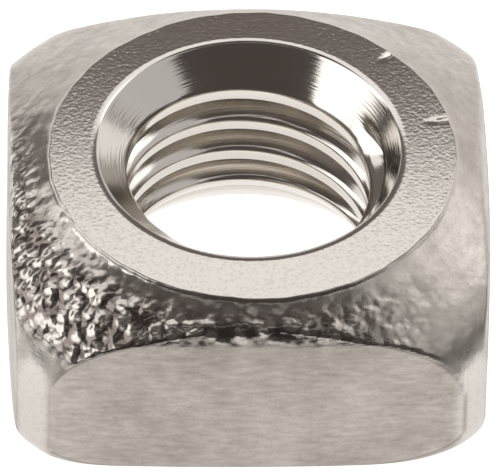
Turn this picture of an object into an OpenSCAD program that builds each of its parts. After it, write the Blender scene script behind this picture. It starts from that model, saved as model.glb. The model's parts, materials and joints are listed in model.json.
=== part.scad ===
// Square nut, cold-formed from steel bar.
// One piece: a square blank with a flat ring on top, a conical chamfer that drops
// from the ring to the four corners, rounded edges, and a tapped hole that is
// countersunk at both ends. The bore is the thread's minor diameter.
// It stands on its bearing face. The origin is the centre of that face and +Z runs
// along the thread. Sizes are in millimetres and degrees.

/* [Body] */
// Width across the flats
across_flats = 17; // [16:0.1:19]
// Thickness, from the bearing face up to the ring
thickness = 7.6; // [6.3:0.1:9]
// Radius of the four upright corners
corner_radius = 1.3; // [0.8:0.1:2]
// Radius along the top edge of each flat
top_edge_radius = 2.5; // [0.6:0.1:3]
// How far below the ring's level the rounding of the top edges meets the flats
crease_drop = 1.4; // [0.8:0.1:1.7]
// Radius along the bottom edge of each flat
bottom_edge_radius = 0.3; // [0.2:0.05:0.8]
// How far above the bearing face the rounding of the bottom edges ends
bottom_edge_rise = 0.25; // [0.15:0.05:0.8]

/* [Corners] */
// Outside diameter of the flat ring on top
ring_d = 14.4; // [13.2:0.1:15.4]
// Slope of the chamfer below the ring
chamfer_slope = 30; // [20:1:35]
// Radius where the chamfer turns down into a corner
chamfer_turn_radius = 2.4; // [0.5:0.1:2.8]
// How far in from a corner its foot starts to lift off the bearing face
foot_run = 2; // [1.7:0.1:3]
// How high up a corner the rounding of its foot ends
foot_lift = 1.6; // [0.4:0.1:1.6]

/* [Threaded hole] */
// Nominal diameter of the thread
thread_d = 10; // [9.5:0.1:10.4]
// Pitch of the thread
thread_pitch = 1.5; // [0.75:0.05:1.75]
// How much larger the hole is than the thread's basic minor diameter
minor_allowance = 0.22; // [0:0.01:0.3]
// Diameter of the countersinks at the two faces
countersink_d = 10.8; // [10.2:0.1:11.8]
// Depth of the countersink below the ring
ring_sink_depth = 1.3; // [0.8:0.1:1.6]
// Depth of the countersink above the bearing face
bearing_sink_depth = 1.8; // [0.8:0.1:2]

/* [Hidden] */
$fn = 96;

// Metric internal thread: basic minor diameter = nominal diameter - 1.0825 x pitch
MINOR_DEPTH_PER_PITCH = 1.0825;
minor_d = thread_d - MINOR_DEPTH_PER_PITCH * thread_pitch + minor_allowance;

half_width = across_flats / 2;
ring_r = ring_d / 2;
// Cutters run past the faces they cut by this much
overrun = 1;
// The rounding of a top edge would end this far outside the flat, so that it meets
// the flat in a faint crease
crease_margin = 0.08;
// Slopes at which the rounded edges of a flat run out into the faces
top_edge_slope = 50;
bottom_edge_slope = 45;

// The outline of the upright corners lies this far outside the flats, so that the
// corners meet the flats in a faint line, as they do where metal leaves the die
corner_margin = 0.03;
outline_half = half_width + corner_margin;
// Radius out to the crest of a rounded upright corner
corner_reach = outline_half * sqrt(2) - corner_radius * (sqrt(2) - 1);
// The turned section keeps this far outside the upright corners
turning_margin = 0.1;
turned_r = corner_reach + turning_margin;

// Where the chamfer cone runs into the arc that turns it down into a corner
turn_arc_r = turned_r - chamfer_turn_radius;
cone_end_r = turn_arc_r + chamfer_turn_radius * sin(chamfer_slope);
cone_end_z = thickness - (cone_end_r - ring_r) * tan(chamfer_slope);
turn_arc_z = cone_end_z - chamfer_turn_radius * cos(chamfer_slope);

// Arc under a corner: it leaves the bearing face at foot_r and reaches the turned
// radius at the height foot_lift
foot_r = turned_r - foot_run;
foot_radius = (pow(foot_run, 2) + pow(foot_lift, 2)) / (2 * foot_lift);

// Square outline with rounded corners, seen from above
module plan_outline() {
    arc = outline_half - corner_radius;
    square(2 * [outline_half, arc], center = true);
    square(2 * [arc, outline_half], center = true);
    for (x = [-arc, arc], y = [-arc, arc])
        translate([x, y])
            circle(corner_radius);
}

// Height of the crease along the top of a flat, and the centre of the arc above it
crease_z = thickness - crease_drop;
arc_rise = sqrt(pow(top_edge_radius, 2) - pow(top_edge_radius - crease_margin, 2));
rolled_half = half_width + crease_margin;
top_arc = [rolled_half - top_edge_radius, crease_z - arc_rise];
// Where that arc runs out into a straight slope
top_turn = top_arc + top_edge_radius * [sin(top_edge_slope), cos(top_edge_slope)];
// The same two points for the arc along the bottom edge
bottom_arc = [half_width - bottom_edge_radius, bottom_edge_rise];
bottom_turn = bottom_arc + bottom_edge_radius * [sin(bottom_edge_slope), -cos(bottom_edge_slope)];
// The sections run past both faces
section_top = max(thickness, top_turn.y) + overrun;
section_bottom = -overrun;

// Outline from its right side, with the left side as its mirror image
module both_sides(right_side) {
    last = len(right_side) - 1;
    left_side = [for (i = [last : -1 : 0]) [-right_side[i].x, right_side[i].y]];
    polygon(concat(right_side, left_side));
}

// Upright section across two flats and their bottom edges. An arc turns each flat
// into a straight slope, which runs out past the bearing face
module flats_section() {
    bottom_x = bottom_turn.x - (bottom_turn.y - section_bottom) / tan(bottom_edge_slope);
    both_sides([
        [bottom_x, section_bottom],
        bottom_turn,
        bottom_arc,
        [half_width, bottom_arc.y],
        [half_width, section_top]
    ]);
    for (side = [-1, 1])
        translate([side * bottom_arc.x, bottom_arc.y])
            circle(bottom_edge_radius);
}

// Upright section across the rolled top edges. An arc turns each side, a little
// outside the flats, into a straight slope, which runs out past the ring
module rolled_section() {
    top_x = top_turn.x - (section_top - top_turn.y) / tan(top_edge_slope);
    both_sides([
        [rolled_half, section_bottom],
        [rolled_half, top_arc.y],
        top_arc,
        top_turn,
        [top_x, section_top]
    ]);
    for (side = [-1, 1])
        translate([side * top_arc.x, top_arc.y])
            circle(top_edge_radius);
}

// Bar with both sections, running along Y
module flats_bar() {
    rotate([90, 0, 0])
        linear_extrude(across_flats + 2 * overrun, center = true)
            intersection() {
                flats_section();
                rolled_section();
            }
}

// Half section turned about the thread's axis: the conical chamfer at the top of
// the corners and the rounding of their feet
module corner_half_section() {
    polygon([
        [0, 0],
        [foot_r, 0],
        [turned_r, foot_lift],
        [turned_r, turn_arc_z],
        [turn_arc_r, turn_arc_z],
        [cone_end_r, cone_end_z],
        [ring_r, thickness],
        [0, thickness]
    ]);
    translate([turn_arc_r, turn_arc_z])
        circle(chamfer_turn_radius);
    intersection() {
        translate([foot_r, foot_radius])
            circle(foot_radius);
        translate([foot_r, 0])
            square([foot_run, foot_lift]);
    }
}

// Formed blank before the hole is made. The turned section alone sets the ring and
// the bearing face; the other two run past them
module blank() {
    intersection() {
        rotate_extrude()
            corner_half_section();
        translate([0, 0, -overrun])
            linear_extrude(thickness + 2 * overrun)
                plan_outline();
        flats_bar();
        rotate(90)
            flats_bar();
    }
}

// Countersink cutter for the bearing face, widest below it
module countersink(depth) {
    taper = (countersink_d - minor_d) / 2 / depth;
    mouth_r = countersink_d / 2 + overrun * taper;
    translate([0, 0, -overrun])
        cylinder(h = overrun + depth, r1 = mouth_r, r2 = minor_d / 2);
}

// Hole at the thread's minor diameter, countersunk at both faces
module tapping_hole() {
    translate([0, 0, -overrun])
        cylinder(h = thickness + 2 * overrun, d = minor_d);
    countersink(bearing_sink_depth);
    translate([0, 0, thickness])
        mirror([0, 0, 1])
            countersink(ring_sink_depth);
}

module square_nut() {
    color("silver")
        difference() {
            blank();
            tapping_hole();
        }
}

square_nut();
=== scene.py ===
# %% [markdown]
# # A square nut in Blender
# The CAD model gives this nut its sizes and its place: it stands on its bearing face, with the
# thread along Z. What it can't give is the look of a real nut, cold-formed in a die and tapped.
# This lesson lays a fine skin over the CAD shape, cuts a true thread into its hole, gives the
# steel its different finishes, and lights it for its picture.

import json
import math

import bmesh
import bpy
import numpy as np
from mathutils import Matrix, Vector, noise

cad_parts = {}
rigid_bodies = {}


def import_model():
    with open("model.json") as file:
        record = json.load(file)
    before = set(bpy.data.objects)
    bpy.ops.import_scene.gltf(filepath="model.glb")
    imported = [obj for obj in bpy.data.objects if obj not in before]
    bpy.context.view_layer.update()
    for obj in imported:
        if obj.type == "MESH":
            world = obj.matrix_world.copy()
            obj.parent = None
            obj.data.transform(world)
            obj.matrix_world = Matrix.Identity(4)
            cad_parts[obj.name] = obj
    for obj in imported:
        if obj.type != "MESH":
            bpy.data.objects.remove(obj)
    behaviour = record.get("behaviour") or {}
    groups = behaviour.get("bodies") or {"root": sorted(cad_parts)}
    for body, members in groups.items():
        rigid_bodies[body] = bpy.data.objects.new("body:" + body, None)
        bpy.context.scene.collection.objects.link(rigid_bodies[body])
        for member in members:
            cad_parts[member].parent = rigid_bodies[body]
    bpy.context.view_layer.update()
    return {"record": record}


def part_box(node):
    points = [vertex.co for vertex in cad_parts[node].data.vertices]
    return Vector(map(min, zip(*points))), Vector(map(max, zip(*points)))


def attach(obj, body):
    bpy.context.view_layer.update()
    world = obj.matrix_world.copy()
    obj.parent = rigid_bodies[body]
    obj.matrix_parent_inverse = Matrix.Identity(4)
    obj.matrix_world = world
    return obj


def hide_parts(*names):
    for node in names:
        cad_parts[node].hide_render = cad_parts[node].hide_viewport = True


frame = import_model()

# %% [markdown]
# ## Sizes
# The width, height and hole come from the frame, so the skin always fits the solid. The other
# sizes are close to those of the CAD model. Where the real nut is rounder, they follow the nut.

# %% Sizes of the nut
MM = 0.001

_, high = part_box("square_nut")
HALF_WIDTH = high[0]
HEIGHT = high[2]
thread_mount = next(mount for mount in frame["record"]["mounts"] if mount["name"] == "thread")
MINOR_RADIUS = thread_mount["dims"]["r_mm"] * MM

RING_RADIUS = 7.2 * MM
MOUTH_RADIUS = 5.4 * MM
CHAMFER_SLOPE = math.radians(30)
FRONT_TURN_RADIUS = 3.6 * MM
BACK_TURN_RADIUS = 1.7 * MM
CORNER_RADIUS = 1.3 * MM
TOP_EDGE_RADIUS = 3.5 * MM
TOP_EDGE_DROP = 2.15 * MM
BACK_EDGE_RADIUS = 4.5 * MM
BACK_EDGE_DROP = 3.2 * MM
BOTTOM_EDGE_RADIUS = 0.25 * MM
FOOT_RUN = 1.9 * MM
FOOT_LIFT = 1.7 * MM
PITCH = 1.5 * MM
MAJOR_RADIUS = 5.0 * MM

print(f"nut: {2 * HALF_WIDTH / MM:.1f} mm wide, {HEIGHT / MM:.1f} mm high")
print(f"hole: {2 * MINOR_RADIUS / MM:.2f} mm wide, pitch {PITCH / MM:.1f} mm")

# %% [markdown]
# ## The formed body
# On the real nut every edge is rounded, but not equally: the die leaves a wide roll along the top
# of each flat, a cone under the ring, and soft feet under the corners. A box with one Bevel
# modifier would round them all alike. So the body is written as a handful of distances: each face
# says how far a point lies outside it, and `rounded_max` joins two faces with the radius that
# their shared edge has on the nut.

# %% Distances from the faces
def rounded_max(first, second, radius):
    """Join two faces of a solid, with a rounded edge between them."""
    past_first = np.maximum(first + radius, 0.0)
    past_second = np.maximum(second + radius, 0.0)
    return np.minimum(np.maximum(first, second), -radius) + np.hypot(past_first, past_second)


def smooth_step(value, start, end):
    """Rise smoothly from 0 at start to 1 at end."""
    share = np.clip((value - start) / (end - start), 0, 1)
    return share * share * (3 - 2 * share)


print(f"rounding: a 1 mm radius takes {rounded_max(0.0, 0.0, 1.0):.2f} mm off a square edge")


# %% [markdown]
# The flats were pressed by the sides of the die, the roll above them flowed freely. They meet in a
# faint crease, not in a tangent, so the roll's own surface would end a little outside the flat.
# The roll along the back is the roundest. Each flat is also a little crowned: it is highest in the
# middle and falls away to the corners.

# %% Flats with their roll
ROLL_MARGIN = 0.076 * MM
FLAT_CROWN = 0.3 * MM


def crowned(across, along):
    """Distance across the nut, as if the crowned flats were straight."""
    return across + FLAT_CROWN * (along / HALF_WIDTH) ** 2


def flat(across, height, roll_radius, roll_drop):
    """One pair of flats, with the roll along their top edge."""
    outward = np.maximum(across - HALF_WIDTH - ROLL_MARGIN + roll_radius, 0.0)
    upward = np.maximum(height - HEIGHT + roll_drop, 0.0)
    return np.maximum(across - HALF_WIDTH, np.hypot(outward, upward) - roll_radius)


crease_rise = math.sqrt(TOP_EDGE_RADIUS**2 - (TOP_EDGE_RADIUS - ROLL_MARGIN) ** 2)
print(f"crease: {(TOP_EDGE_DROP - crease_rise) / MM:.2f} mm below the ring")


# %% [markdown]
# The upright corners also stand a hair outside the flats, which gives the line that frames each
# flat. They are rounder on the left. Below, the corners lift off the table on a large arc, which
# is larger on the right.

# %% Upright corners and their feet
CORNER_MARGIN = 0.08 * MM
LEFT_CORNER_RADIUS = 1.75 * MM
WORN_FOOT = 1.25
SIDE_BLEND = (-0.5, 0.5)

foot_reach = HALF_WIDTH * math.sqrt(2) - CORNER_RADIUS * (math.sqrt(2) - 1)
foot_radius = (FOOT_RUN**2 + FOOT_LIFT**2) / (2 * FOOT_LIFT)


def right_share(angle):
    """0 on the left of the nut, 1 on the right, with a blend between."""
    return smooth_step(np.cos(angle), *SIDE_BLEND)


def corner_rounding(angle):
    """Radius of the upright corners."""
    return LEFT_CORNER_RADIUS + (CORNER_RADIUS - LEFT_CORNER_RADIUS) * right_share(angle)


def upright_corner(angle, side_x, side_y):
    """The rounded corners of the square outline."""
    reach = HALF_WIDTH + CORNER_MARGIN
    return rounded_max(side_x - reach, side_y - reach, corner_rounding(angle))


def corner_reach(angle):
    """Distance from the axis to the crest of an upright corner."""
    across = HALF_WIDTH + CORNER_MARGIN - corner_rounding(angle) * (1 - math.sqrt(0.5))
    crown = FLAT_CROWN / HALF_WIDTH**2
    return math.sqrt(2) * (np.sqrt(1 + 4 * crown * across) - 1) / (2 * crown)


def foot(angle, radius, height):
    """The underside, which lifts off the table below each corner."""
    growth = 1 + (WORN_FOOT - 1) * right_share(angle)
    outward = np.maximum(radius - foot_reach + FOOT_RUN * growth, 0.0)
    downward = np.maximum(foot_radius * growth - height, 0.0)
    return np.hypot(outward, downward) - foot_radius * growth


left_reach = corner_reach(math.pi)
right_reach = corner_reach(0.0)
print(f"corners: reach {left_reach / MM:.2f} mm on the left, {right_reach / MM:.2f} mm on the right")


# %% [markdown]
# The ring on top was faced after forming, a little off centre, so its outer edge wanders. It is
# also slightly conical, which is why one half of it can be bright while the other is dark. It ends
# in a low, steep shoulder above the cone, which shows as a thin line. Two small nicks cut into it.

# %% The ring and the cone below it
RING_SHIFT = (0.13 * MM, -0.22 * MM)
RING_WANDER = 0.018 * MM
# Waves along the edge: how many go round, where they start, and how large they are
WANDER_WAVES = ((5, 0.7, 1.0), (13, 2.1, 0.8), (37, 4.0, 0.6))
RING_CROWN = math.radians(2.5)
SHOULDER_DROP = 0.1 * MM
SHOULDER_SLOPE = math.radians(68)
NICK_ANGLES = (math.radians(12), math.radians(43))
NICK_WIDTH = 0.09 * MM
NICK_DEPTH = 0.07 * MM
NICK_START = 6.5 * MM
NICK_END = 6.9 * MM
MEASURED_ANGLES = 361


def ring_edge(angle):
    """Radius of the ring's outer edge at each angle."""
    shift = RING_SHIFT[0] * np.cos(angle) + RING_SHIFT[1] * np.sin(angle)
    wander = sum(size * np.sin(count * angle + start) for count, start, size in WANDER_WAVES)
    return RING_RADIUS + shift + RING_WANDER * wander


def turn_radius(angle):
    """Radius of the arc that turns the cone down into a corner."""
    back_share = smooth_step(np.sin(angle), *SIDE_BLEND)
    return FRONT_TURN_RADIUS + (BACK_TURN_RADIUS - FRONT_TURN_RADIUS) * back_share


def cone(angle, radius, height):
    """The chamfer that drops from the ring and turns down into the corners on an arc."""
    turn = turn_radius(angle)
    past_edge = radius - ring_edge(angle)
    edge_height = HEIGHT - (ring_edge(angle) - MOUTH_RADIUS) * math.tan(RING_CROWN)
    shoulder = past_edge * math.sin(SHOULDER_SLOPE) + (height - edge_height) * math.cos(SHOULDER_SLOPE)
    above = height - edge_height + SHOULDER_DROP
    slope = past_edge * math.sin(CHAMFER_SLOPE) + above * math.cos(CHAMFER_SLOPE)
    outward = radius - corner_reach(angle) + turn
    upward = (slope + turn - outward * math.sin(CHAMFER_SLOPE)) / math.cos(CHAMFER_SLOPE)
    arc = np.hypot(np.maximum(outward, 0.0), np.maximum(upward, 0.0)) - turn
    turned = outward * math.cos(CHAMFER_SLOPE) > upward * math.sin(CHAMFER_SLOPE)
    return np.minimum(np.where(turned, arc, slope), shoulder)


def ring_drop(angle, radius):
    """How far the ring lies below its highest line."""
    drop = (radius - MOUTH_RADIUS) * math.tan(RING_CROWN)
    for nick_angle in NICK_ANGLES:
        aside = (angle - nick_angle) * radius / NICK_WIDTH
        drop = drop + NICK_DEPTH * np.exp(-(aside**2)) * smooth_step(radius, NICK_START, NICK_END)
    return drop


ring_reach = ring_edge(np.linspace(0, 2 * math.pi, MEASURED_ANGLES))
print(f"ring: its edge lies {ring_reach.min() / MM:.2f} to {ring_reach.max() / MM:.2f} mm out")


# %% [markdown]
# The edge between cone and flats isn't the same all round: it is crisp on the left, where the die
# was sharp, and worn round on the right.

# %% The whole body
RING_EDGE_ROUNDING = 0.04 * MM
FOOT_ROUNDING = 0.3 * MM
CRISP_EDGE = 0.08 * MM
WORN_EDGE = 0.15 * MM


def body_distance(angle, radius, height):
    """How far a point is outside the formed body; negative inside."""
    x = np.abs(radius * np.cos(angle))
    y = np.abs(radius * np.sin(angle))
    side_x = crowned(x, y)
    side_y = crowned(y, x)
    at_back = np.sin(angle) > 0
    roll_radius = np.where(at_back, BACK_EDGE_RADIUS, TOP_EDGE_RADIUS)
    roll_drop = np.where(at_back, BACK_EDGE_DROP, TOP_EDGE_DROP)
    sides = flat(side_x, height, TOP_EDGE_RADIUS, TOP_EDGE_DROP)
    flats = np.maximum(sides, flat(side_y, height, roll_radius, roll_drop))
    wear = CRISP_EDGE + (WORN_EDGE - CRISP_EDGE) * right_share(angle)
    body = rounded_max(flats, cone(angle, radius, height), wear)
    body = np.maximum(body, upright_corner(angle, side_x, side_y))
    body = rounded_max(body, -height + 0 * radius, BOTTOM_EDGE_RADIUS)
    body = rounded_max(body, foot(angle, radius, height), FOOT_ROUNDING)
    return rounded_max(body, height - HEIGHT + ring_drop(angle, radius), RING_EDGE_ROUNDING)


inside = body_distance(np.array(0.0), np.array(0.0), np.array(HEIGHT / 2))
print(f"body: its middle lies {-inside / MM:.2f} mm below the nearest face")


# %% [markdown]
# ## From distances to a skin
# A skin of regular columns and rows is easier to texture and to cut a thread into than a remeshed
# blob. Every column is one upright slice through the axis. In each slice, rays start inside the
# metal and a bisection finds where they leave the body.

# %% Find the outer skin in every slice
COLUMNS = 528
OUTER_ROWS = 90
RAYS = 961
CORE_RADIUS = 6.8 * MM
CORE_HEIGHT = 3.4 * MM
RAY_REACH = 8 * MM
BISECTIONS = 34

angles = np.arange(COLUMNS) * 2 * math.pi / COLUMNS
ray_slopes = np.linspace(-math.pi / 2, math.pi / 2, RAYS)


def cast_rays():
    """Where the rays of every slice leave the body, as radius and height."""
    angle = angles[:, None]
    near = np.zeros((COLUMNS, RAYS))
    far = np.full((COLUMNS, RAYS), RAY_REACH)
    for _ in range(BISECTIONS):
        middle = (near + far) / 2
        radius = CORE_RADIUS + middle * np.cos(ray_slopes)
        height = CORE_HEIGHT + middle * np.sin(ray_slopes)
        outside = body_distance(angle, radius, height) > 0
        far = np.where(outside, middle, far)
        near = np.where(outside, near, middle)
    return CORE_RADIUS + near * np.cos(ray_slopes), CORE_HEIGHT + near * np.sin(ray_slopes)


slice_r, slice_h = cast_rays()
print(f"rays: {slice_r.size}, they leave the body up to {slice_r.max() / MM:.2f} mm from the axis")


# %% [markdown]
# The rows are then spread along the slice. They crowd together where it bends, so that rounded
# edges stay smooth, and on the slopes, which get the grain of the die.

# %% Spread the rows
BEND_WEIGHT = 0.9 * MM
PLAIN_WEIGHT = 0.35
SLOPE_FOOT = HEIGHT - 3.2 * MM
SLOPE_HEAD = HEIGHT - 2.2 * MM


def spread_rows(radius, height):
    """Pick rows along each slice, close together on the slopes and where it bends."""
    step_r = np.diff(radius, axis=1)
    step_h = np.diff(height, axis=1)
    heading = np.unwrap(np.arctan2(step_h, step_r), axis=1)
    bend = np.abs(np.diff(heading, axis=1, prepend=heading[:, :1]))
    weight = PLAIN_WEIGHT + (1 - PLAIN_WEIGHT) * smooth_step(height[:, 1:], SLOPE_FOOT, SLOPE_HEAD)
    travelled = np.cumsum(weight * np.hypot(step_r, step_h) + BEND_WEIGHT * bend, axis=1)
    travelled = np.hstack([np.zeros((COLUMNS, 1)), travelled])
    rows_r = np.empty((COLUMNS, OUTER_ROWS))
    rows_h = np.empty((COLUMNS, OUTER_ROWS))
    for column in range(COLUMNS):
        wanted = np.linspace(0, travelled[column, -1], OUTER_ROWS)
        rows_r[column] = np.interp(wanted, travelled[column], radius[column])
        rows_h[column] = np.interp(wanted, travelled[column], height[column])
    return rows_r, rows_h


outer_r, outer_h = spread_rows(slice_r, slice_h)
print(f"outer skin: {COLUMNS} columns of {OUTER_ROWS} rows")

# %% [markdown]
# ## The thread
# The thread is a right-hand helix: the 60 degree groove climbs one pitch in each turn. A Screw
# modifier could sweep its section, but then its ends would not run out into the countersinks.
# Here the rows of the hole follow the helix themselves, so every crest is a clean line.

# %% The thread's slice
CREST_HALF = 0.223 * MM
FLANK_STEEPNESS = math.tan(math.radians(60))
THREAD_ROUNDING = 0.05 * MM
THREAD_START = 1.175 * MM


def soft_min(first, second, width):
    """The smaller of two values, blended where they are close."""
    share = np.clip(0.5 + 0.5 * (second - first) / width, 0, 1)
    return second + (first - second) * share - width * share * (1 - share)


def soft_max(first, second, width):
    """The larger of two values, blended where they are close."""
    return -soft_min(-first, -second, width)


def thread_radius(climb):
    """Radius of the thread at a height counted along the helix."""
    from_crest = np.abs((climb - THREAD_START + PITCH / 2) % PITCH - PITCH / 2)
    flank = MINOR_RADIUS + (from_crest - CREST_HALF) * FLANK_STEEPNESS
    return soft_min(soft_max(flank, MINOR_RADIUS, THREAD_ROUNDING), MAJOR_RADIUS, THREAD_ROUNDING)


print(f"thread: {(MAJOR_RADIUS - MINOR_RADIUS) / MM:.2f} mm deep, crests {2 * CREST_HALF / MM:.2f} mm wide")


# %% [markdown]
# ## The countersunk mouths
# Both ends of the hole are countersunk before tapping, so that the tap starts true. Under the ring
# the cone runs smoothly down to the first crest, so its lower end climbs with the thread; at the
# front it drops back by one pitch, and there the groove starts. The lead-in below is one long cone.

# %% The countersinks' slices
FIRST_TURN = 3
SMOOTH_FROM = math.radians(5)
SMOOTH_FULL = math.radians(35)
DROP_FROM = math.radians(165)
GROOVE_FROM = math.radians(200)
GROOVE_FULL = math.radians(260)
TOP_CHAIN_DEPTH = 0.28 * MM
BOTTOM_SINK_DEPTHS = np.array([0.0, 1.8]) * MM
BOTTOM_SINK_RADII = np.array([MOUTH_RADIUS, MINOR_RADIUS])


def sink_end(angle):
    """Depth below the ring at which the countersink meets the first crest."""
    crest = THREAD_START + PITCH * (FIRST_TURN + angle / (2 * math.pi))
    back_down = PITCH * smooth_step(angle, DROP_FROM, 2 * math.pi)
    return HEIGHT - crest - CREST_HALF + back_down


def top_sink(angle, depth):
    """Radius of the countersink at a depth below the ring."""
    share = np.clip(depth / sink_end(angle), 0, 1)
    return MOUTH_RADIUS - (MOUTH_RADIUS - MINOR_RADIUS) * share


def smooth_share(angle):
    """1 where the countersink is smooth, 0 where the first groove cuts into it."""
    return smooth_step(angle, SMOOTH_FROM, SMOOTH_FULL) * (1 - smooth_step(angle, GROOVE_FROM, GROOVE_FULL))


def bottom_sink(depth):
    """Radius of the lead-in at a height above the bearing face."""
    return np.interp(depth, BOTTOM_SINK_DEPTHS, BOTTOM_SINK_RADII)


left_end = sink_end(math.pi)
right_end = sink_end(0.0)
print(f"countersink: {left_end / MM:.2f} mm deep on the left, {right_end / MM:.2f} mm on the right")


# %% [markdown]
# The rows lie where the section bends: on the crest, at both ends of the flank, and in the root.
# Spare turns at both ends keep every column filled, although the rows climb.

# %% Rows of the hole, following the helix
RUN_OUT_RADIUS = MAJOR_RADIUS + 0.06 * MM
CREST_SHARE = 0.4
FLANK_SHARES = (1 / 3, 2 / 3)
SPARE_BELOW = 1
SPARE_ABOVE = 2

root_half = CREST_HALF + (MAJOR_RADIUS - MINOR_RADIUS) / FLANK_STEEPNESS
half_marks = [CREST_HALF * CREST_SHARE]
half_marks += [CREST_HALF - THREAD_ROUNDING / 2, CREST_HALF + THREAD_ROUNDING / 2]
half_marks += [CREST_HALF + (root_half - CREST_HALF) * share for share in FLANK_SHARES]
half_marks += [root_half - THREAD_ROUNDING / 2, root_half + THREAD_ROUNDING / 2]
row_marks = np.array([-mark for mark in reversed(half_marks)] + half_marks + [PITCH / 2])
ROWS_PER_PITCH = len(row_marks)

hole_low = np.interp(-RUN_OUT_RADIUS, -BOTTOM_SINK_RADII, BOTTOM_SINK_DEPTHS)
hole_high = HEIGHT - TOP_CHAIN_DEPTH

first_turn = math.floor((hole_low - THREAD_START) / PITCH) - SPARE_BELOW
turn_count = math.ceil((hole_high - hole_low) / PITCH) + SPARE_BELOW + SPARE_ABOVE
turn_starts = THREAD_START + PITCH * (first_turn + np.arange(turn_count))
climbs = (turn_starts[:, None] + row_marks).ravel()
hole_rows = len(climbs)

climb_of_column = PITCH * angles[:, None] / (2 * math.pi)
hole_h = np.clip(climbs[None, :] + climb_of_column, hole_low, hole_high)
hole_r = thread_radius(hole_h - climb_of_column)
hole_depth = HEIGHT - hole_h
sink_r = top_sink(angles[:, None], hole_depth)
open_r = np.maximum(hole_r, sink_r)
smooth_r = np.where(hole_depth < sink_end(angles[:, None]), sink_r, open_r)
hole_r = open_r + (smooth_r - open_r) * smooth_share(angles[:, None])
hole_r = soft_max(hole_r, bottom_sink(hole_h), THREAD_ROUNDING)
print(f"hole: {hole_rows} helical rows, {(hole_high - hole_low) / PITCH:.1f} turns of thread")

# %% [markdown]
# ## Dents and waves
# A die is never as smooth as a drawing. On the slopes the metal has small dents, coarse on the
# left and front and fine elsewhere; the flats are only slightly wavy. A bump map would leave the
# edges perfectly straight, so the larger dents move the points of the skin itself. The finest
# grain comes later, in the material.

# %% Which way the skin faces
FINE_STEP = 0.002 * MM
TINY = 1e-12
RING_FACING = (0.95, 0.985)
SLOPE_FACING = (0.12, 0.4)


def facing(angle, radius, height):
    """Outward and upward parts of the skin's direction, from the change of the distance."""
    outward = body_distance(angle, radius + FINE_STEP, height)
    outward = outward - body_distance(angle, radius - FINE_STEP, height)
    upward = body_distance(angle, radius, height + FINE_STEP)
    upward = upward - body_distance(angle, radius, height - FINE_STEP)
    length = np.hypot(outward, upward) + TINY
    return outward / length, upward / length


outer_out, outer_up = facing(angles[:, None], outer_r, outer_h)
above_flats = smooth_step(outer_h, SLOPE_FOOT, SLOPE_HEAD)
ring_share = smooth_step(outer_up, *RING_FACING) * above_flats
slope_share = smooth_step(outer_up, *SLOPE_FACING) * above_flats * (1 - ring_share)
print(f"slopes: {100 * slope_share.mean():.0f} % of the outer points")

# %% [markdown]
# The faint creases that frame each flat get a painted dark line of shade. They lie where the skin
# has only just left the plane of the flat.

# %% Creases round the flats
CREASE_MIDDLE = 0.012 * MM
CREASE_END = 0.04 * MM

outer_x = np.abs(outer_r * np.cos(angles[:, None]))
outer_y = np.abs(outer_r * np.sin(angles[:, None]))
off_flat = HALF_WIDTH - np.maximum(crowned(outer_x, outer_y), crowned(outer_y, outer_x))
past_crease = smooth_step(off_flat, CREASE_MIDDLE, CREASE_END)
crease_share = smooth_step(off_flat, 0, CREASE_MIDDLE) * (1 - past_crease)
print(f"creases: {(crease_share > 0.5).sum()} points")

# %% [markdown]
# The die was roughest at the front left. The share of coarse grain falls off from there to both
# sides.

# %% Dent the skin
COARSE_DIRECTION = math.radians(235)
COARSE_HALF_ANGLE = math.radians(85)
CALM_SHARE = 0.1
SLOPE_DENT = 0.025 * MM
FLAT_WAVE = 0.006 * MM
DENT_SIZE = 0.55 * MM
WAVE_SIZE = 2.5 * MM
BEARING_RIM = 0.05 * MM

aside = np.abs((angles - COARSE_DIRECTION + math.pi) % (2 * math.pi) - math.pi)
calm = smooth_step(aside, COARSE_HALF_ANGLE / 2, COARSE_HALF_ANGLE)
coarse_share = CALM_SHARE + (1 - CALM_SHARE) * (1 - calm)


def lumps(radius, height, size):
    """Smooth random lumps of a given size, from -1 to 1, at every point of a grid."""
    x = radius * np.cos(angles[:, None]) / size
    y = radius * np.sin(angles[:, None]) / size
    values = [noise.noise(Vector(point)) for point in zip(x.flat, y.flat, (height / size).flat)]
    return np.array(values).reshape(radius.shape)


dent = SLOPE_DENT * slope_share * coarse_share[:, None] * lumps(outer_r, outer_h, DENT_SIZE)
dent = dent + FLAT_WAVE * (1 - slope_share - ring_share) * lumps(outer_r, outer_h, WAVE_SIZE)
dent = np.where(outer_h < BEARING_RIM, 0, dent)
outer_r = outer_r + dent * outer_out
outer_h = outer_h + dent * outer_up
print(f"dents: up to {np.abs(dent).max() / MM:.3f} mm")

# %% [markdown]
# ## One closed mesh
# The slices are joined into one chain of rows: from the lower end of the thread out over the
# bearing face, up the flats, in over the ring and down to the upper end of the thread. The helical
# rows close it. At the two ends they pile up on one circle, and merging close vertices removes
# what has no area.

# %% Chain of rows from one end of the thread to the other
SINK_ROWS = 8
FACE_ROWS = 6

face_radii = np.linspace(MOUTH_RADIUS, CORE_RADIUS, FACE_ROWS + 1)[1:-1]
bottom_depths = np.linspace(hole_low, 0, SINK_ROWS)
top_depths = np.linspace(0, TOP_CHAIN_DEPTH, SINK_ROWS)


def repeat_rows(row):
    """The same row of values in every column."""
    return np.tile(row, (COLUMNS, 1))


ring_radii = repeat_rows(face_radii[::-1])
ring_heights = HEIGHT - ring_drop(angles[:, None], ring_radii)
chain_r = np.hstack(
    [
        repeat_rows(bottom_sink(bottom_depths)),
        repeat_rows(face_radii),
        outer_r,
        ring_radii,
        top_sink(angles[:, None], repeat_rows(top_depths)),
    ]
)
chain_h = np.hstack(
    [
        repeat_rows(bottom_depths),
        repeat_rows(0 * face_radii),
        outer_h,
        ring_heights,
        repeat_rows(HEIGHT - top_depths),
    ]
)
chain_rows = chain_r.shape[1]
print(f"chain: {chain_rows} rows")
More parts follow.
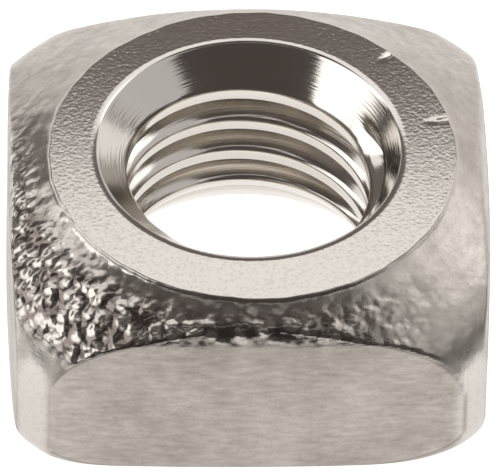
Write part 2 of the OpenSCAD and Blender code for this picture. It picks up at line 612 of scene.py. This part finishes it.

# %% [markdown]
# Each point also carries what the material needs to know about its place: how polished it is (on
# the corners this also holds a painted sheen), how much die grain it has, whether a cutter left
# lines on it, whether it is on the ring or in a crease, and whether it lies on a worn edge.

# %% Finish of every point
SATIN = 0.0
# Corners: rubbed, and painted lighter for the brighter table that they mirror
RUBBED_AND_PAINTED_BRIGHT = 0.9
FORMED = 0.6
CALM_FORMED = 0.3
FACED = 0.95
CUT = 1.0
SHARP_BEND = 0.5
CORNER_START = 7.0 * MM
CORNER_END = 7.5 * MM
GRAIN_START = 0.3 * MM
GRAIN_FULL = 0.85 * MM
FAINT_GRAIN = 0.2
GRAIN_FADE = 1.9 * MM
GRAIN_END = 2.8 * MM
CORNER_GRAIN = 0.1


def chain_values(lower, face, outer, ring, upper):
    """One value for every point of the chain, from a value for each of its stretches."""
    parts = [repeat_rows(lower + 0 * bottom_depths), repeat_rows(face + 0 * face_radii), outer]
    parts += [repeat_rows(ring + 0 * face_radii), repeat_rows(upper + 0 * top_depths)]
    return np.hstack(parts)


def all_values(chain, hole):
    """Values of the chain followed by one value for the whole hole."""
    return np.concatenate([chain.ravel(), np.full(hole_r.size, hole)])


heading = np.unwrap(np.arctan2(np.diff(chain_h, axis=1), np.diff(chain_r, axis=1)), axis=1)
chain_bend = np.abs(np.diff(heading, axis=1, prepend=heading[:, :1], append=heading[:, -1:]))
near_corner = smooth_step(np.minimum(outer_x, outer_y), CORNER_START, CORNER_END)
below_slope = 1 - slope_share - ring_share
formed = CALM_FORMED + (FORMED - CALM_FORMED) * coarse_share[:, None]
# Painted sheen: the corners take the lighter cut-steel colour, partly for real rubbing and partly for the
# brighter table that they mirror
outer_polish_and_sheen = FACED * ring_share + formed * slope_share + RUBBED_AND_PAINTED_BRIGHT * near_corner * below_slope
below_ring = smooth_step(HEIGHT - outer_h, GRAIN_START, GRAIN_FULL)
low_down = smooth_step(HEIGHT - outer_h, GRAIN_FADE, GRAIN_END)
outer_grain = (FAINT_GRAIN + (1 - FAINT_GRAIN) * below_ring) * (1 - (1 - CORNER_GRAIN) * low_down)
outer_grain = outer_grain * slope_share * coarse_share[:, None]
finish = {
    "polish_and_sheen": all_values(chain_values(CUT, SATIN, outer_polish_and_sheen, FACED, CUT), CUT),
    "grain": all_values(chain_values(0, 0, outer_grain, 0, 0), 0),
    "ring": all_values(chain_values(0, 0, ring_share, 1, 0), 0),
    "crease": all_values(chain_values(0, 0, crease_share, 0, 0), 0),
    "cut": all_values(chain_values(1, 0, 0 * outer_r, 0, 1), 1),
    "edge": all_values(np.clip(chain_bend / SHARP_BEND, 0, 1), 0),
}
for name, values in finish.items():
    print(f"{name}: {values.mean():.2f} on average")

# %% [markdown]
# Neighbouring points become quads. The hole's rows climb, so where its last column meets the first
# one, each row joins the row that lies one pitch higher.

# %% Build the mesh
def grid_points(radius, height):
    """Points of a grid of columns and rows."""
    x = radius * np.cos(angles[:, None])
    y = radius * np.sin(angles[:, None])
    return np.stack([x, y, height], axis=-1).reshape(-1, 3)


def chain_faces():
    """Quads between neighbouring columns of the chain."""
    faces = []
    for column in range(COLUMNS):
        here = column * chain_rows
        there = (column + 1) % COLUMNS * chain_rows
        for row in range(chain_rows - 1):
            faces.append((here + row, there + row, there + row + 1, here + row + 1))
    return faces


def hole_faces(first):
    """Quads of the hole; the last column meets the first one pitch further up."""
    faces = []
    for column in range(COLUMNS):
        last = column == COLUMNS - 1
        lift = ROWS_PER_PITCH if last else 0
        here = first + column * hole_rows
        there = first + (0 if last else column + 1) * hole_rows + lift
        for row in range(hole_rows - 1 - lift):
            faces.append((here + row + 1, there + row + 1, there + row, here + row))
    return faces


points = np.vstack([grid_points(chain_r, chain_h), grid_points(hole_r, hole_h)])
faces = chain_faces() + hole_faces(COLUMNS * chain_rows)
mesh = bpy.data.meshes.new("nut_skin")
mesh.from_pydata(points.tolist(), [], faces)
for name, values in finish.items():
    layer = mesh.attributes.new(name, "FLOAT", "POINT")
    layer.data.foreach_set("value", values.astype(np.float32))
print(f"quads: {len(faces)}")

# %% [markdown]
# Merging leaves one closed surface, with every edge between exactly two faces. The skin then takes
# the place of the CAD part and rides with its body.

# %% Close it and set it in the frame
MERGE_DISTANCE = 0.0001 * MM

builder = bmesh.new()
builder.from_mesh(mesh)
bmesh.ops.remove_doubles(builder, verts=builder.verts, dist=MERGE_DISTANCE)
bmesh.ops.recalc_face_normals(builder, faces=builder.faces)
open_edges = sum(1 for edge in builder.edges if len(edge.link_faces) != 2)
builder.to_mesh(mesh)
builder.free()
mesh.shade_smooth()

nut = bpy.data.objects.new("nut_skin", mesh)
bpy.context.scene.collection.objects.link(nut)
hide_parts("square_nut")
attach(nut, "root")
triangles = sum(len(polygon.vertices) - 2 for polygon in mesh.polygons)
print(f"nut skin: {len(mesh.vertices)} points, {triangles} triangles, {open_edges} open edges")

# %% [markdown]
# ## Steel
# All of the nut is one bare stainless steel, a warm grey metal. Its parts differ in how the
# surface was made: satin flats, grainy slopes, a faced ring and a bright thread. So it gets one
# material, and the values that the skin carries steer it. All lengths in it are millimetres.

# %% The material, and helpers for wiring its nodes
steel = bpy.data.materials.new("stainless_steel")
steel.use_nodes = True
tree = steel.node_tree
shader = tree.nodes["Principled BSDF"]
shader.inputs["Metallic"].default_value = 1.0


def add_node(tree, kind, inputs, **options):
    """Add a node, set its options, and link or set its inputs."""
    new = tree.nodes.new(kind)
    for name, value in options.items():
        setattr(new, name, value)
    for socket, value in inputs.items():
        if isinstance(value, bpy.types.NodeSocket):
            tree.links.new(value, new.inputs[socket])
        else:
            new.inputs[socket].default_value = value
    return new


def calculate(tree, operation, *values):
    """Output of a Math node."""
    return add_node(tree, "ShaderNodeMath", dict(enumerate(values)), operation=operation).outputs[0]


def carried(tree, name):
    """A value that the skin's points carry."""
    return add_node(tree, "ShaderNodeAttribute", {}, attribute_name=name).outputs["Fac"]


def rescale(tree, value, start, end, low_end, high_end):
    """Map a range of values to another one, clamped."""
    inputs = {"Value": value, "From Min": start, "From Max": end, "To Min": low_end, "To Max": high_end}
    return add_node(tree, "ShaderNodeMapRange", inputs).outputs["Result"]


print(f"material: {steel.name}")


# %% [markdown]
# Noise in four sizes makes the patterns: lumps of grain, specks on the ring, a fine tooth and wide
# clouds.

# %% Patterns in the steel
place = add_node(tree, "ShaderNodeTexCoord", {}).outputs["Object"]
scaled = add_node(tree, "ShaderNodeVectorMath", {0: place, "Scale": 1 / MM}, operation="SCALE")
millimetres = scaled.outputs[0]


def speckle(per_mm, detail):
    """Random pattern with a number of lumps per millimetre."""
    inputs = {"Vector": millimetres, "Scale": per_mm, "Detail": detail}
    return add_node(tree, "ShaderNodeTexNoise", inputs).outputs["Fac"]


grain_pattern = speckle(per_mm=2.0, detail=1.0)
ring_pattern = speckle(per_mm=7.0, detail=2.0)
fine_pattern = speckle(per_mm=8.0, detail=3.0)
cloud_pattern = speckle(per_mm=0.45, detail=4.0)
print(f"patterns: {len(tree.nodes)} nodes so far")

# %% [markdown]
# The coarse grain looks like pebbles pressed into each other. A Voronoi pattern gives them: its
# value is smallest at the middle of each pebble and grows to the seams.

# %% Pebbles
PEBBLES_PER_MM = 2.2

pebble_inputs = {"Vector": millimetres, "Scale": PEBBLES_PER_MM}
pebble_node = add_node(tree, "ShaderNodeTexVoronoi", pebble_inputs, feature="F1")
pebbles = calculate(tree, "SUBTRACT", 1.0, pebble_node.outputs["Distance"])
print(f"pebbles: about {1 / PEBBLES_PER_MM:.2f} mm wide")

# %% [markdown]
# The cutter's lines run round the axis. They come from noise in one dimension only: the distance
# from the axis plus the height.

# %% Cutter lines
LINES_PER_MM = 7.0
LINE_DETAIL = 3.0
LEVEL = (1, 1, 0)

level = add_node(tree, "ShaderNodeVectorMath", {0: millimetres, 1: LEVEL}, operation="MULTIPLY")
across = add_node(tree, "ShaderNodeVectorMath", {0: level.outputs[0]}, operation="LENGTH")
from_axis = across.outputs["Value"]
height_mm = add_node(tree, "ShaderNodeSeparateXYZ", {0: millimetres}).outputs["Z"]
along_cut = calculate(tree, "ADD", from_axis, height_mm)
line_inputs = {"W": along_cut, "Scale": LINES_PER_MM, "Detail": LINE_DETAIL}
line_pattern = add_node(tree, "ShaderNodeTexNoise", line_inputs, noise_dimensions="1D").outputs["Fac"]
print(f"cutter lines: about {1 / LINES_PER_MM:.2f} mm apart")

# %% [markdown]
# The flats slid along the die, so their satin is streaked level with the table. The same noise,
# squeezed in height, draws the streaks.

# %% Streaks
SQUEEZE = (1, 1, 3.5)
STREAKS_PER_MM = 1.3
STREAK_DETAIL = 5.0

squeezed = add_node(tree, "ShaderNodeVectorMath", {0: millimetres, 1: SQUEEZE}, operation="MULTIPLY")
streak_inputs = {"Vector": squeezed.outputs[0], "Scale": STREAKS_PER_MM, "Detail": STREAK_DETAIL}
streaks = add_node(tree, "ShaderNodeTexNoise", streak_inputs).outputs["Fac"]
print(f"streaks: {SQUEEZE[2]} times as long as high")

# %% [markdown]
# One Bump node makes the fine relief. Each pattern counts only where the skin says that it belongs:
# grain on the slopes, specks on the ring, lines in the hole, and a fine tooth outside it.

# %% Relief
GRAIN_DEPTH = 0.19
PEBBLE_DEPTH = 0.07
RING_DEPTH = 0.006
FINE_DEPTH = 0.003
LINE_DEPTH = 0.004

grain_share = carried(tree, "grain")
cut_share = carried(tree, "cut")
ring_amount = carried(tree, "ring")
fine_share = calculate(tree, "SUBTRACT", 1.0, cut_share)


def pressed(pattern, depth, share):
    """Relief of a pattern: its depth in millimetres, where its share of the surface is 1."""
    return calculate(tree, "MULTIPLY", calculate(tree, "MULTIPLY", pattern, depth), share)


grain_relief = pressed(grain_pattern, GRAIN_DEPTH, grain_share)
grain_relief = calculate(tree, "ADD", grain_relief, pressed(pebbles, PEBBLE_DEPTH, grain_share))
ring_relief = pressed(ring_pattern, RING_DEPTH, ring_amount)
fine_relief = pressed(fine_pattern, FINE_DEPTH, fine_share)
line_relief = pressed(line_pattern, LINE_DEPTH, cut_share)
relief = calculate(tree, "ADD", calculate(tree, "ADD", grain_relief, fine_relief), line_relief)
relief = calculate(tree, "ADD", relief, ring_relief)
bump_inputs = {"Height": relief, "Distance": MM, "Strength": 1.0}
bump = add_node(tree, "ShaderNodeBump", bump_inputs)
tree.links.new(bump.outputs["Normal"], shader.inputs["Normal"])
print(f"relief: the coarse grain is up to {GRAIN_DEPTH + PEBBLE_DEPTH:.2f} mm deep")

# %% [markdown]
# The colour varies a little from place to place. The pits of the grain are darker and browner, partly
# from oxide and partly as painted shade, the creases get a painted dark line of shade, and rubbed
# edges are lighter.

# %% Colour
PALE_STEEL = (0.635, 0.585, 0.53, 1)
DULL_STEEL = (0.43, 0.39, 0.35, 1)
CUT_STEEL = (0.7, 0.665, 0.62, 1)
# Brown for oxide specks, and for painted shade in the pits of the grain and along the creases
OXIDE_AND_SHADE_BROWN = (0.16, 0.13, 0.115, 1)
RUBBED_STEEL = (0.72, 0.69, 0.65, 1)
# How dark the pits get (oxide and painted shade), the specks, the rubbed edges and the creases (painted
# shade)
PIT_OXIDE_AND_SHADE_SHARE = 0.9
SPECK_SHARE = 0.14
RUBBED_SHARE = 0.6
CREASE_SHADE_SHARE = 0.65
CLOUD_RANGE = (0.36, 0.62)
PIT_RANGE = (0.4, 0.6)
SPECK_RANGE = (0.3, 0.5)
# A Mix node has sockets for every kind of value; these are the ones for colours
COLOUR_INPUTS = (6, 7)
COLOUR_OUTPUT = 2


def mix_colours(tree, share, first, second):
    """Blend two colours."""
    inputs = {"Factor": share, COLOUR_INPUTS[0]: first, COLOUR_INPUTS[1]: second}
    return add_node(tree, "ShaderNodeMix", inputs, data_type="RGBA").outputs[COLOUR_OUTPUT]


worn_pattern = calculate(tree, "MULTIPLY", calculate(tree, "ADD", cloud_pattern, streaks), 0.5)
clouds = rescale(tree, worn_pattern, *CLOUD_RANGE, 0.0, 1.0)
polish_and_sheen = carried(tree, "polish_and_sheen")
satin_colour = mix_colours(tree, clouds, DULL_STEEL, PALE_STEEL)
# Where the polish is high the colour is lighter; on the corners this is partly painted sheen
steel_colour = mix_colours(tree, polish_and_sheen, satin_colour, CUT_STEEL)
# Painted shade: the seams between the pebbles are darkened, partly as oxide and partly as shade in these
# hollows
pit_oxide_and_shade = rescale(tree, pebbles, *PIT_RANGE, PIT_OXIDE_AND_SHADE_SHARE, 0.0)
pit_oxide_and_shade = calculate(tree, "MULTIPLY", pit_oxide_and_shade, grain_share)
steel_colour = mix_colours(tree, pit_oxide_and_shade, steel_colour, OXIDE_AND_SHADE_BROWN)
specks = rescale(tree, fine_pattern, *SPECK_RANGE, SPECK_SHARE, 0.0)
specks = calculate(tree, "MULTIPLY", specks, fine_share)
steel_colour = mix_colours(tree, specks, steel_colour, OXIDE_AND_SHADE_BROWN)
# Painted shade: a dark line along the creases that frame the flats
crease_shade = calculate(tree, "MULTIPLY", carried(tree, "crease"), CREASE_SHADE_SHARE)
steel_colour = mix_colours(tree, crease_shade, steel_colour, OXIDE_AND_SHADE_BROWN)
rubbed = calculate(tree, "MULTIPLY", carried(tree, "edge"), RUBBED_SHARE)
steel_colour = mix_colours(tree, rubbed, steel_colour, RUBBED_STEEL)
tree.links.new(steel_colour, shader.inputs["Base Color"])
print(f"colour: {len(tree.nodes)} nodes so far")

# %% [markdown]
# Satin steel blurs what it mirrors, cut steel doesn't. The fine pattern makes the gloss uneven.

# %% Roughness
SATIN_ROUGHNESS = 0.4
CUT_ROUGHNESS = 0.11
UNEVEN_ROUGHNESS = 0.04
UNEVEN_RANGE = (0.3, 0.7)

roughness = rescale(tree, polish_and_sheen, 0.0, 1.0, SATIN_ROUGHNESS, CUT_ROUGHNESS)
uneven = rescale(tree, fine_pattern, *UNEVEN_RANGE, UNEVEN_ROUGHNESS, -UNEVEN_ROUGHNESS / 2)
roughness = calculate(tree, "ADD", roughness, uneven)
tree.links.new(roughness, shader.inputs["Roughness"])
mesh.materials.append(steel)
print(f"steel: {len(tree.nodes)} nodes")

# %% [markdown]
# ## Studio
# Polished metal shows its surroundings, so the studio is as much a part of the picture as the
# steel: a pale table, soft boxes and a dim warm room. The table's glow shows to the camera and in
# the metal only, so the nut keeps its shadow. Below the hole a painted pool of light makes the
# glow stronger, so the thread mirrors a white table there in place of the nut's shadow.

# %% Table
TABLE_HALF = 0.14
TABLE_FRONT = 0.055
TABLE_DROP = 0.01 * MM
TABLE_GLOW = 0.9
MIRRORED_GLOW = 0.62
PAINTED_HOLE_LIGHT = 0.8
HOLE_INSIDE = 5.5 * MM
HOLE_OUTSIDE = 6 * MM
TABLE_GREY = (0.9, 0.9, 0.9, 1)
WHITE = (1, 1, 1, 1)
MATT = 0.9


def make_table():
    """A pale table under the nut; its glow shows in the metal too, with a painted pool of light below the
    hole.
    """
    table_mesh = bpy.data.meshes.new("table")
    corners = [(-TABLE_HALF, -TABLE_FRONT, 0), (TABLE_HALF, -TABLE_FRONT, 0)]
    corners += [(TABLE_HALF, TABLE_HALF, 0), (-TABLE_HALF, TABLE_HALF, 0)]
    table_mesh.from_pydata(corners, [], [(0, 1, 2, 3)])
    table = bpy.data.objects.new("table", table_mesh)
    table.location.z = -TABLE_DROP
    bpy.context.scene.collection.objects.link(table)
    pale = bpy.data.materials.new("pale_table")
    pale.use_nodes = True
    surface = pale.node_tree.nodes["Principled BSDF"]
    surface.inputs["Base Color"].default_value = TABLE_GREY
    surface.inputs["Roughness"].default_value = MATT
    surface.inputs["Specular IOR Level"].default_value = 0.0
    surface.inputs["Emission Color"].default_value = WHITE
    nodes = pale.node_tree
    rays = add_node(nodes, "ShaderNodeLightPath", {}).outputs
    seen = calculate(nodes, "MULTIPLY", rays["Is Camera Ray"], TABLE_GLOW)
    mirrored = calculate(nodes, "MAXIMUM", rays["Is Glossy Ray"], rays["Is Transmission Ray"])
    spot = add_node(nodes, "ShaderNodeTexCoord", {}).outputs["Object"]
    away = add_node(nodes, "ShaderNodeVectorMath", {0: spot}, operation="LENGTH").outputs["Value"]
    # Painted light: below the hole the mirrored glow is stronger, in place of the nut's shadow that the
    # thread would mirror
    strength = rescale(nodes, away, HOLE_INSIDE, HOLE_OUTSIDE, PAINTED_HOLE_LIGHT, MIRRORED_GLOW)
    mirrored = calculate(nodes, "MULTIPLY", mirrored, strength)
    nodes.links.new(calculate(nodes, "MAXIMUM", seen, mirrored), surface.inputs["Emission Strength"])
    table_mesh.materials.append(pale)


make_table()
print(f"table: {2 * TABLE_HALF:.2f} m wide")

# %% [markdown]
# A photographer who wants a dark line in bright metal lays a dark card where the metal mirrors it.
# The roll above the front flat mirrors the table some way in front of the nut, so a card lies
# there. Like the lamps it shows in the metal only.

# %% Dark card
CARD_HALF = 0.06
CARD_NEAR = 0.0175
CARD_RISE = 0.5 * MM
CARD_GREY = (0.06, 0.055, 0.05, 1)


def lay_card():
    """A dark card in front of the nut, seen only in mirrors."""
    card_mesh = bpy.data.meshes.new("card")
    corners = [(-CARD_HALF, -TABLE_FRONT, CARD_RISE), (CARD_HALF, -TABLE_FRONT, CARD_RISE)]
    corners += [(CARD_HALF, -CARD_NEAR, CARD_RISE), (-CARD_HALF, -CARD_NEAR, CARD_RISE)]
    card_mesh.from_pydata(corners, [], [(0, 1, 2, 3)])
    card = bpy.data.objects.new("card", card_mesh)
    bpy.context.scene.collection.objects.link(card)
    dark = bpy.data.materials.new("dark_card")
    dark.use_nodes = True
    surface = dark.node_tree.nodes["Principled BSDF"]
    surface.inputs["Base Color"].default_value = CARD_GREY
    surface.inputs["Roughness"].default_value = MATT
    card_mesh.materials.append(dark)
    card.visible_camera = False
    card.visible_diffuse = False
    card.visible_shadow = False


lay_card()
print(f"card: starts {CARD_NEAR / MM:.1f} mm in front of the axis")

# %% [markdown]
# Each box is placed by what mirrors it. The lower edge of the wide one behind crosses the middle of
# the ring, so its front is bright and its back dark. The left one lights the grain and a streak in
# the countersink, and the low one on the right the other side of the countersink. The others on the
# right and the low one behind light the calm slopes, and the strip at the front draws a line above
# the crease.

# %% Soft boxes
BOX_DISTANCE = 0.30


def soft_box(name, bearing, low_edge, high_edge, spread, radiance):
    """A rectangular light that spans two elevations and a spread of bearings, in degrees."""
    turn = math.radians(bearing)
    rise = math.radians((low_edge + high_edge) / 2)
    way = Vector((math.cos(rise) * math.cos(turn), math.cos(rise) * math.sin(turn), math.sin(rise)))
    lamp = bpy.data.lights.new(name, "AREA")
    lamp.shape = "RECTANGLE"
    lamp.size = 2 * BOX_DISTANCE * math.tan(math.radians(spread / 2))
    lamp.size_y = 2 * BOX_DISTANCE * math.tan(math.radians((high_edge - low_edge) / 2))
    lamp.energy = math.pi * lamp.size * lamp.size_y * radiance
    box = bpy.data.objects.new(name, lamp)
    box.location = way * BOX_DISTANCE
    box.rotation_euler = way.to_track_quat("Z", "Y").to_euler()
    bpy.context.scene.collection.objects.link(box)


soft_box("back_box", bearing=90, low_edge=45.5, high_edge=75, spread=100, radiance=0.98)
soft_box("left_box", bearing=188, low_edge=8, high_edge=45, spread=54, radiance=1.6)
soft_box("low_back_box", bearing=100, low_edge=0, high_edge=12, spread=60, radiance=0.8)
soft_box("right_box", bearing=6, low_edge=18, high_edge=62, spread=64, radiance=0.54)
soft_box("right_back_box", bearing=50, low_edge=17, high_edge=30, spread=40, radiance=0.46)
soft_box("low_right_box", bearing=46, low_edge=3, high_edge=16, spread=50, radiance=0.85)
soft_box("front_strip", bearing=270, low_edge=64, high_edge=68, spread=60, radiance=0.8)
print(f"soft boxes: {len(bpy.data.lights)}")

# %% [markdown]
# The room is darkest on the camera's side, which the back of the countersink mirrors. Seen past the
# table it is plain white.

# %% Room
ROOM_FRONT = (0.085, 0.073, 0.068, 1)
ROOM_BACK = (0.17, 0.146, 0.136, 1)
DARK_UNTIL = -0.1
BRIGHT_FROM = 0.6

world = bpy.data.worlds.new("studio")
bpy.context.scene.world = world
world.use_nodes = True
room = world.node_tree
bearing = add_node(room, "ShaderNodeTexCoord", {}).outputs["Generated"]
backward = add_node(room, "ShaderNodeSeparateXYZ", {0: bearing}).outputs["Y"]
toward_back = rescale(room, backward, DARK_UNTIL, BRIGHT_FROM, 0.0, 1.0)
room_colour = mix_colours(room, toward_back, ROOM_FRONT, ROOM_BACK)
seen = add_node(room, "ShaderNodeLightPath", {}).outputs["Is Camera Ray"]
room_colour = mix_colours(room, seen, room_colour, WHITE)
room.links.new(room_colour, room.nodes["Background"].inputs["Color"])
print(f"room: {len(room.nodes)} nodes")

# %% [markdown]
# ## Camera
# The camera looks down at the front flat from far away, through a long lens. It is turned and rolled
# by a few degrees, as it is hard to set a real nut quite square, and aimed so that the middle of the
# ring falls on a chosen pixel.

# %% Camera
VIEW_ELEVATION = math.radians(44.6)
VIEW_TURN = math.radians(-2.4)
VIEW_ROLL = math.radians(1.4)
WIDTHS_AWAY = 40
VIEW_DISTANCE = WIDTHS_AWAY * 2 * HALF_WIDTH
NEAREST_SEEN = 0.01
FARTHEST_SEEN = 10
PHOTO_WIDTH = 500
PHOTO_HEIGHT = 472
WIDTH_PIXELS = 481.5
RING_PIXEL = (246.8, 148.8)
SENSOR = 36.0

camera_data = bpy.data.cameras.new("camera")
camera_data.sensor_fit = "HORIZONTAL"
camera_data.sensor_width = SENSOR
camera_data.lens = SENSOR * WIDTH_PIXELS / PHOTO_WIDTH * VIEW_DISTANCE / (2 * HALF_WIDTH)
camera_data.clip_start = NEAREST_SEEN
camera_data.clip_end = FARTHEST_SEEN
camera = bpy.data.objects.new("camera", camera_data)
bpy.context.scene.collection.objects.link(camera)

ring_centre = Vector((0, 0, HEIGHT))
toward_camera = Vector(
    (
        math.cos(VIEW_ELEVATION) * math.sin(VIEW_TURN),
        -math.cos(VIEW_ELEVATION) * math.cos(VIEW_TURN),
        math.sin(VIEW_ELEVATION),
    )
)
camera.location = ring_centre + toward_camera * VIEW_DISTANCE
aim = toward_camera.to_track_quat("Z", "Y").to_matrix().to_4x4()
right = aim.col[0].to_3d()
up = aim.col[1].to_3d()
metres_per_pixel = 2 * HALF_WIDTH / WIDTH_PIXELS
offset_right = (PHOTO_WIDTH / 2 - RING_PIXEL[0]) * metres_per_pixel
offset_up = -(PHOTO_HEIGHT / 2 - RING_PIXEL[1]) * metres_per_pixel
target = ring_centre + right * offset_right + up * offset_up
look = (camera.location - target).to_track_quat("Z", "Y").to_matrix()
camera.rotation_euler = (look @ Matrix.Rotation(VIEW_ROLL, 3, "Z")).to_euler()
bpy.context.scene.camera = camera
print(f"camera: {VIEW_DISTANCE / MM:.0f} mm away, {camera_data.lens:.0f} mm lens")

# %% [markdown]
# ## Finish
# The picture uses the Standard view transform.

# %% Finish
bpy.context.scene.view_settings.view_transform = "Standard"
